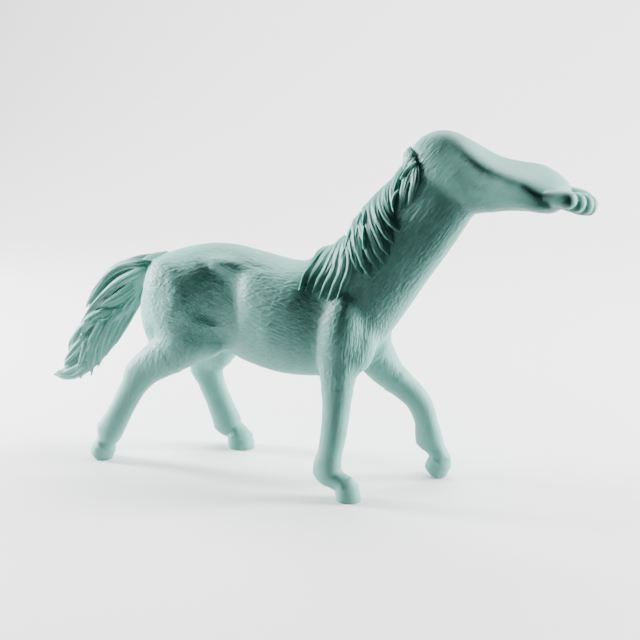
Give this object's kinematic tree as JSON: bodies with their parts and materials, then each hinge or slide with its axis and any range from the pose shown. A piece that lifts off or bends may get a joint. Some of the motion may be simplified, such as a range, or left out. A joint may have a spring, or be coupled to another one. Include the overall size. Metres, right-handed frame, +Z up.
{
  "type": "horse figure with a foot for a head",
  "caption": "Walking horse figure in one moulded piece, with mane and tail, whose neck ends in a human foot turned sole upward.",
  "frame": {"origin": "on the ground plane under the middle of the figure's bounding box", "axes": "+X from the tail towards the toes, +Y to the horse's left, +Z up; the hooves stand on z = 0"},
  "size_m": [0.3814, 0.0795, 0.232],
  "materials": {
    "mint": "matte with a faint satin sheen"
  },
  "bodies": {
    "root": {"horse": "mint"}
  },
  "joints": []
}
